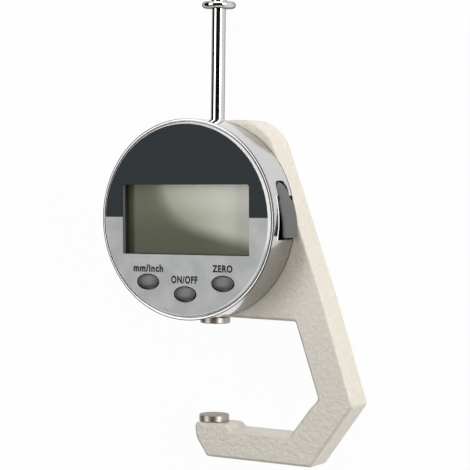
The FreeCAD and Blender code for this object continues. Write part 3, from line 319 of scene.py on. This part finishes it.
# One finish for each material slot of the record
FINISHES = {
    "frame_paint": hammertone_paint(),
    "polished_steel": polished_steel(),
    "head_metal": satin_head(),
    "face_metal": brushed_face(),
    "dark_field": dark_field(),
    "display_glass": display_glass(),
    "key_plastic": key_plastic(),
    "cover_plastic": cover_plastic(),
    "black_plastic": grained("black_plastic", (0.012, 0.012, 0.012), 0.5),
    "bush_metal": grained("bush_metal", (0.70, 0.54, 0.28), 0.3, 1.0),
    "screw_steel": grained("screw_steel", (0.42, 0.42, 0.42), 0.35, 1.0),
    "seal_rubber": grained("seal_rubber", (0.02, 0.02, 0.02), 0.8),
    "carrier_metal": grained("carrier_metal", (0.66, 0.66, 0.67), 0.4, 1.0),
    "board_laminate": grained("board_laminate", (0.03, 0.16, 0.07), 0.4),
    "spring_metal": grained("spring_metal", (0.70, 0.66, 0.56), 0.3, 1.0),
    "cell_steel": grained("cell_steel", (0.70, 0.70, 0.70), 0.25, 1.0),
}
INK = grained("black_ink", (0.010, 0.010, 0.011), 0.55, specular=0.2)
DISC_STEEL = lapped_steel()
RIM_METAL = turned_rim()

for part in frame["record"]["subparts"]:
    mesh = frame["nodes"][part["node"]].data
    mesh.materials.clear()
    measuring = part["node"] in ("anvil", "contact_tip")
    mesh.materials.append(DISC_STEEL if measuring else FINISHES[part["material_slot"]])


# New pieces

def add_piece(name, mesh, body, material):
    """Puts a mesh in the scene as a piece that rides on a body."""
    piece = bpy.data.objects.new(name, mesh)
    bpy.context.scene.collection.objects.link(piece)
    mesh.materials.clear()
    mesh.materials.append(material)
    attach(piece, body)
    return piece


def smooth_mesh(name, points, faces, sharp):
    """Mesh from millimetre points, shaded smooth but for edges sharper than an angle in degrees."""
    mesh = bpy.data.meshes.new(name)
    mesh.from_pydata((points * MM).tolist(), [], faces)
    mesh.polygons.foreach_set("use_smooth", np.ones(len(mesh.polygons), bool))
    mesh.set_sharp_from_angle(angle=math.radians(sharp))
    return mesh


def eased(share):
    """0 below 0, 1 above 1 and smooth between, with level ends: share ** 2 * (3 - 2 * share)."""
    share = np.clip(share, 0, 1)
    return share * share * (3 - 2 * share)


def carried_round(name, rings, origin, axes, segments=96):
    """Closed skin through a stack of ovals.

    A ring is (half width, half height, level). Its points are origin + half width * cos(angle) * U
    + half height * sin(angle) * V + level * H, where U, V and H are the rows of axes. The first
    and the last ring are single points, which close the skin. All lengths are in millimetres.
    """
    wide, tall, level = np.array(rings, float).T
    angles = np.arange(segments) * 2 * math.pi / segments
    across = np.outer(wide[1:-1], np.cos(angles))
    upward = np.outer(tall[1:-1], np.sin(angles))
    height = np.repeat(level[1:-1, None], segments, axis=1)
    local = np.stack([across, upward, height], axis=-1).reshape(-1, 3)
    local = np.vstack([[0, 0, level[0]], local, [0, 0, level[-1]]])
    points = np.asarray(origin) + local @ np.asarray(axes, float)
    turn = np.arange(segments)
    after = (turn + 1) % segments
    low = 1 + np.arange(len(rings) - 3)[:, None] * segments
    high = low + segments
    sides = np.stack([low + turn, low + after, high + after, high + turn], axis=-1).reshape(-1, 4)
    first = np.column_stack([0 * turn, 1 + after, 1 + turn])
    last = np.column_stack([high[-1] + turn, high[-1] + after, 0 * turn + len(local) - 1])
    return smooth_mesh(name, points, first.tolist() + sides.tolist() + last.tolist(), 35)


def arc(centre, radius, start, end, steps):
    """Points of an arc in the profile's plane (radius, level), angles in degrees from outwards."""
    angles = np.radians(np.linspace(start, end, steps))
    return [(centre[0] + radius * math.cos(angle), centre[1] + radius * math.sin(angle))
            for angle in angles]


def make_spindle_cap():
    """Lifting cap: a disc with a fully rounded rim, a low boss above and a stud in the rod."""
    low, high = (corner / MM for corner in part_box("spindle_cap"))
    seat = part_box("spindle_rod")[1].y / MM
    stud, boss, rim, boss_height, edge = 1.25, 2.15, 0.9, 1.0, 0.3
    shoulder = high.y - boss_height
    profile = [(0, low.y), (stud, low.y), (stud, seat)]
    profile += arc((high.x - rim, seat + rim), rim, -90, 90, 17)
    profile += [(boss, shoulder)]
    profile += arc((boss - edge, high.y - edge), edge, 0, 90, 5)
    profile += [(0, high.y)]
    rings = [(radius, radius, level) for radius, level in profile]
    mesh = carried_round("lifting_cap", rings, (0, 0, 0), [(0, 0, 1), (1, 0, 0), (0, 1, 0)])
    cap = add_piece("lifting_cap", mesh, "spindle", FINISHES["polished_steel"])
    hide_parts("spindle_cap")


def make_key(name):
    """Oval key: flange and nib as in the frame, and a crown that falls away to a soft edge.

    The crown's rings shrink by a share from 1 to 0, at a rise of (1 - share ** 2.6) ** 0.75.
    """
    node = "button_" + name
    low, high = (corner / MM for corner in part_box(node))
    flange, flange_height, nib, side, slack = 0.6, 0.8, 0.9, 0.1, 0.18
    left_shift, up_shift = 0.07, 0.12
    flange_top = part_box("display_frame")[1].z / MM - 0.05
    centre = (low + high) / 2
    wide = (high.x - low.x) / 2 - flange - slack
    tall = (high.y - low.y) / 2 - flange - slack
    crown = high.z - FACE_FRONT - side
    under = flange_top - flange_height
    rings = [(0, 0, low.z), (nib, nib, low.z), (nib, nib, under), (wide + flange, tall + flange, under),
             (wide + flange, tall + flange, flange_top), (wide, tall, flange_top)]
    for share in np.cos(np.linspace(0, math.pi / 2, 14)):
        rise = (1 - share ** 2.6) ** 0.75
        rings.append((wide * share, tall * share, FACE_FRONT + side + crown * rise))
    rings[-1] = (0, 0, high.z)
    place = (centre.x - left_shift, centre.y + up_shift, 0)
    mesh = carried_round("key_" + name, rings, place, FACE_AXES)
    key = add_piece("key_" + name, mesh, "key_" + name, FINISHES["key_plastic"])
    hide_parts(node)


def skin(name, loops, joined=False):
    """Skin through a row of loops: millimetre points in an array (loop, point, axis).

    The loops turn anticlockwise as seen from the last one. The first and the last loop are closed
    by flat ends, or joined to each other in a ring.
    """
    loops = np.asarray(loops, float)
    rows, count, _ = loops.shape
    row = np.arange(rows if joined else rows - 1)[:, None]
    turn = np.arange(count)[None, :]
    here, there = row * count, (row + 1) % rows * count
    after = (turn + 1) % count
    sides = np.stack([here + turn, here + after, there + after, there + turn], axis=-1).reshape(-1, 4)
    ends = [] if joined else [list(range(count))[::-1], list(range((rows - 1) * count, rows * count))]
    return smooth_mesh(name, loops.reshape(-1, 3), sides.tolist() + ends, 40)


def head_ring(name, radii, levels, material, segments=288):
    """A closed section carried round the head, clockwise from its top.

    Its points are (radius * sin(angle), HEAD_Y + radius * cos(angle), level).
    """
    angles = np.arange(segments) * 2 * math.pi / segments
    loops = np.stack([np.outer(np.sin(angles), radii), HEAD_Y + np.outer(np.cos(angles), radii),
                      np.tile(levels, (segments, 1))], axis=-1)
    add_piece(name, skin(name, loops, joined=True), "gauge", material)


def make_head_rim():
    """Bright lip on the housing's front: a shallow arc above a short straight foot."""
    width, slope, foot, proud = 0.70, math.radians(27), 0.3, 0.02
    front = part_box("head_housing")[1].z / MM
    crown = width / 2 / math.sin(slope)
    turn = np.linspace(slope, -slope, 15)
    radii = HEAD_RADIUS - width / 2 + crown * np.sin(turn)
    levels = front + proud + crown * (np.cos(turn) - math.cos(slope))
    radii = np.concatenate([radii, [radii[-1], radii[0]]])
    levels = np.concatenate([levels, [front - foot, front - foot]])
    head_ring("head_rim", radii, levels, RIM_METAL)


def make_seam_shade_ring():
    """Thin black ring between the housing and the frame: painted shade that stands for the shadow in
    the seam.
    """
    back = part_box("head_housing")[0].z / MM
    high, lift, inner, outer = 0.38, 0.01, 26.3, HEAD_RADIUS - 0.01
    radii = [inner, outer, outer, inner]
    levels = [back + high, back + high, back + lift, back + lift]
    # Painted shade: the black ring stands for the shadow where the housing meets the frame.
    head_ring("seam_shade_ring", radii, levels, FINISHES["seal_rubber"], segments=192)


def wall_point(y, radius):
    """X of the head's right side at a height y, on a cylinder of some radius round its axis."""
    return np.sqrt(radius ** 2 - (y - HEAD_Y) ** 2)


def make_cover_shell():
    """Side cover as a thin curved shell with soft edges, built closed and swung about its pin.

    Each height y gives a rounded rectangle: z = centre + half * c(a), radius = outer - thick / 2 *
    (1 - s(a)), where c and s are the cosine and sine of a drawn towards the corners. The half width
    follows the body, the sloped shoulders and the tongue's round end.
    """
    pin = np.array([24.4, 63.4])
    swing = math.radians(8.5)
    foot, shoulder, tip = 49.75, 60.4, 64.8
    foot_round, slope = 0.5, 1.5
    body, tongue = 3.75, 2.68
    middle, body_shift = 9.1, 0.25
    plate, knuckle_extra, knuckle_reach = 0.9, 1.3, 1.9
    segments, corner = 48, 0.42

    foot_heights = foot + foot_round * (1 - np.cos(np.linspace(0, math.pi / 2, 6)))
    tip_heights = tip - tongue + (tongue - 0.01) * np.sin(np.linspace(0, math.pi / 2, 14))
    heights = np.concatenate([foot_heights, np.linspace(51.2, 58.6, 12), np.linspace(58.9, 61.6, 14),
                              tip_heights])
    spread = eased((shoulder - heights) / slope)
    rounded = np.clip((foot + foot_round - heights) / foot_round, 0, 1) ** 2
    above = np.clip(heights - (tip - tongue), 0, tongue) / tongue
    half = (tongue + (body - tongue) * spread) * np.sqrt(1 - above ** 2) * (1 - 0.13 * rounded)
    centre = middle - body_shift * spread
    knuckle = eased(1 - np.abs(heights - pin[1]) / knuckle_reach)
    thick = (plate + knuckle_extra * knuckle) * (1 - 0.6 * rounded) * (1 - 0.6 * above ** 8)

    angles = np.arange(segments) * 2 * math.pi / segments
    across = np.sign(np.cos(angles)) * np.abs(np.cos(angles)) ** corner
    outward = np.sign(np.sin(angles)) * np.abs(np.sin(angles)) ** corner
    z = centre[:, None] + half[:, None] * across
    radius = HEAD_RADIUS - 0.02 - thick[:, None] / 2 * (1 - outward)
    y = np.repeat(heights[:, None], segments, axis=1)
    away = np.stack([wall_point(y, radius), y], axis=-1) - pin
    turn = np.array([[math.cos(swing), math.sin(swing)], [-math.sin(swing), math.cos(swing)]])
    swung = away @ turn + pin
    mesh = skin("cover_shell", np.concatenate([swung, z[..., None]], axis=-1))
    shell = add_piece("cover_shell", mesh, "side_cover", FINISHES["cover_plastic"])
    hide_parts("battery_cover")


def make_opening_trim():
    """Fillings of the wall's opening: a beaded strip before the cover, two corners round its tongue.

    The corners leave reach = (tongue + gap) * (1 - share ** 3) ** (1 / 3) each side of the tongue's
    middle, with share from 0 at the start of the round end to 1 at the opening's end.
    """
    strip_front, slot_front, slot_back, slot_end = 13.4, 12.1, 6.1, 65.4
    middle, tongue, gap = 9.1, 2.7, 0.3
    outer, thin, deep = HEAD_RADIUS, HEAD_RADIUS - 0.28, HEAD_RADIUS - 0.9
    strip_width, bead, lap = 0.62, 0.26, 0.01

    turn = np.linspace(-math.pi / 2, math.pi / 2, 13)
    edge = strip_front - strip_width + bead * (1 + np.sin(turn))
    rise = outer - 0.06 + bead * 0.8 * np.cos(turn)
    beaded = [*zip(edge, rise), (strip_front + lap, outer), (strip_front + lap, deep), (edge[0], deep)]

    round_start = slot_end - tongue - gap - 0.02
    corner = round_start + np.linspace(0.2, 1.0, 10) * (slot_end - round_start)
    share = np.clip((corner - round_start) / (tongue + gap), 0, 0.9999)
    reach = (tongue + gap) * (1 - share ** 3) ** (1 / 3)
    upper, lower = middle + reach - lap, middle - reach + lap
    front, back = slot_front + lap, slot_back - lap

    strip = np.linspace(HEAD_Y - 4.8, HEAD_Y + 6.9, 24)
    patches = [("trim_front", strip, beaded[::-1]),
               ("trim_upper", corner, [(upper, outer), (upper, thin), (front, thin), (front, outer)]),
               ("trim_lower", corner, [(back, outer), (back, thin), (lower, thin), (lower, outer)])]
    for name, heights, section in patches:
        loops = np.stack([np.stack([wall_point(heights, radius), heights, level + 0 * heights], axis=-1)
                          for level, radius in section], axis=1)
        add_piece(name, skin(name, loops), "gauge", FINISHES["head_metal"])


def printed_word(name, word, x, y, width, height):
    """Flat lettering on the face: filled outlines scaled to a width and height in millimetres."""
    weight, spacing, above = 0.042, 1.14, 0.02
    curve = bpy.data.curves.new(name, "FONT")
    curve.body = word
    curve.offset = weight
    curve.space_character = spacing
    holder = bpy.data.objects.new(name + "_text", curve)
    bpy.context.scene.collection.objects.link(holder)
    bpy.context.view_layer.update()
    mesh = bpy.data.meshes.new_from_object(holder)
    bpy.data.objects.remove(holder)
    points = np.zeros(len(mesh.vertices) * 3)
    mesh.vertices.foreach_get("co", points)
    points = points.reshape(-1, 3)
    low, high = points.min(0), points.max(0)
    points = (points - (low + high) / 2) * [width / (high[0] - low[0]), height / (high[1] - low[1]), 0]
    flat = (points[:, :2] + [x, y]) @ FACE_AXES[:2, :2] + [0, HEAD_Y]
    placed = np.column_stack([flat, np.full(len(flat), FACE_FRONT + above)]) * MM
    mesh.vertices.foreach_set("co", placed.ravel())
    mesh.update()
    add_piece(name, mesh, "gauge", INK)


make_spindle_cap()
make_head_rim()
make_seam_shade_ring()
make_cover_shell()
make_opening_trim()
for key in ("units", "power", "zero"):
    make_key(key)
printed_word("word_units", "mm/inch", -11.8, -13.25, 9.6, 2.1)
printed_word("word_power", "ON/OFF", -0.2, -16.2, 8.4, 2.1)
printed_word("word_zero", "ZERO", 11.8, -13.0, 6.3, 2.0)


# Stage

def studio_surface(name, shade, shown, share=1.0):
    """A plain surface to the lights, and white, by a share, to the rays that shown names."""
    graph = Graph(name)
    path = graph.nodes.new("ShaderNodeLightPath")
    direct = Value(graph, path.outputs[shown[0]])
    for ray in shown[1:]:
        direct = direct.maths("MAXIMUM", Value(graph, path.outputs[ray]))
    graph.finish((shade, shade, shade), 0.9, specular=0.0)
    glow = graph.nodes.new("ShaderNodeEmission")
    glow.inputs["Strength"].default_value = 1.0
    mix = graph.nodes.new("ShaderNodeMixShader")
    graph.connect(mix.inputs[0], direct * share)
    graph.links.new(graph.shader.outputs[0], mix.inputs[1])
    graph.links.new(glow.outputs[0], mix.inputs[2])
    graph.links.new(mix.outputs[0], graph.output.inputs["Surface"])
    return graph.material


def make_floor():
    """A square plane at the level on which the gauge lies."""
    half = 3.0
    mesh = bpy.data.meshes.new("floor")
    corners = [(-half, -half, FLOOR_LEVEL), (half, -half, FLOOR_LEVEL),
               (half, half, FLOOR_LEVEL), (-half, half, FLOOR_LEVEL)]
    mesh.from_pydata(corners, [], [(0, 1, 2, 3)])
    rays = ["Is Camera Ray", "Is Glossy Ray", "Is Transmission Ray"]
    mesh.materials.append(studio_surface("floor_white", 0.8, rays, share=0.97))
    floor = bpy.data.objects.new("floor", mesh)
    bpy.context.scene.collection.objects.link(floor)


def dark_card(name, start, end, low, high):
    """A black card for the steel to mirror: part of an upright drum round the spindle.

    Angles are in degrees from +Z towards +X, and levels run along +Y, in metres.
    """
    radius, steps = 1.3, 24
    angles = np.radians(np.linspace(start, end, steps))
    rims = [np.column_stack([radius * np.sin(angles), np.full(steps, level), radius * np.cos(angles)])
            for level in (low, high)]
    faces = [(i, i + 1, steps + i + 1, steps + i) for i in range(steps - 1)]
    mesh = bpy.data.meshes.new(name)
    mesh.from_pydata(np.vstack(rims).tolist(), [], faces)
    mesh.materials.append(CARD_BLACK)
    card = bpy.data.objects.new(name, mesh)
    bpy.context.scene.collection.objects.link(card)


def facing(back):
    """Rotation of a lamp or camera that looks against back, with the spindle's axis upwards."""
    right = Vector((0.0, 1.0, 0.0)).cross(back).normalized()
    return Matrix((right, back.cross(right), back)).transposed()


def area_light(name, place, target, width, height, brightness):
    """A soft box whose face has the given brightness, where 1 renders as white."""
    lamp = bpy.data.lights.new(name, "AREA")
    lamp.shape = "RECTANGLE"
    lamp.size = width
    lamp.size_y = height
    lamp.energy = brightness * math.pi * width * height
    holder = bpy.data.objects.new(name, lamp)
    back = (Vector(place) - Vector(target)).normalized()
    holder.matrix_world = Matrix.Translation(Vector(place)) @ facing(back).to_4x4()
    bpy.context.scene.collection.objects.link(holder)


def strip_light(name, angle, width, height, brightness):
    """An upright soft box at an angle in degrees from +Z towards +X."""
    distance, level = 1.0, 0.24
    around = math.radians(angle)
    place = (distance * math.sin(around), level, distance * math.cos(around))
    area_light(name, place, (0.0, level, 0.0), width, height, brightness)


def make_world():
    """White to the camera, to reflections and through glass, and a soft even light otherwise."""
    world = bpy.data.worlds.new("studio")
    bpy.context.scene.world = world
    world.use_nodes = True
    nodes, links = world.node_tree.nodes, world.node_tree.links
    path = nodes.new("ShaderNodeLightPath")
    direct = path.outputs["Is Camera Ray"]
    for ray in ("Is Glossy Ray", "Is Transmission Ray"):
        either = nodes.new("ShaderNodeMath")
        either.operation = "MAXIMUM"
        links.new(direct, either.inputs[0])
        links.new(path.outputs[ray], either.inputs[1])
        direct = either.outputs[0]
    level = nodes.new("ShaderNodeMapRange")
    level.inputs["To Min"].default_value = AMBIENT
    level.inputs["To Max"].default_value = 1.0
    links.new(direct, level.inputs["Value"])
    background = nodes["Background"]
    background.inputs["Color"].default_value = (1.0, 1.0, 1.0, 1.0)
    links.new(level.outputs[0], background.inputs["Strength"])


def make_camera():
    """The photographer's camera, upright for a gauge that stands on its arm."""
    place = Vector((262.36, 72.48, 429.68)) * MM
    focal_pixels, picture_pixels, sensor = 1821.28, 470, 36.0
    azimuth, elevation, roll = (math.radians(value) for value in (30.82, 2.58, 0.68))
    back = Vector((math.sin(azimuth) * math.cos(elevation), math.sin(elevation),
                   math.cos(azimuth) * math.cos(elevation)))
    lens = bpy.data.cameras.new("camera")
    lens.sensor_width = sensor
    lens.lens = focal_pixels / picture_pixels * sensor
    lens.clip_start = 0.01
    lens.clip_end = 50.0
    camera = bpy.data.objects.new("camera", lens)
    rotation = facing(back) @ Matrix.Rotation(roll, 3, "Z")
    camera.matrix_world = Matrix.Translation(place) @ rotation.to_4x4()
    bpy.context.scene.collection.objects.link(camera)
    bpy.context.scene.camera = camera


CARD_BLACK = studio_surface("card_black", 0.02, ["Is Camera Ray"])
make_floor()
make_world()
make_camera()
dark_card("card_left", -90, -44, -1.3, 1.4)
dark_card("card_middle", -13, 58, -1.3, 1.4)
dark_card("card_low", -90, 90, -1.9, -0.62)
strip_light("left_light", -28.5, 0.44, 1.1, 2.3)
strip_light("right_light", 69, 0.40, 1.1, 4.8)
area_light("top_light", (0.15, 1.05, 0.4), (0.0, 0.05, 0.0), 0.8, 0.7, 2.5)
bpy.context.scene.view_settings.view_transform = "Standard"
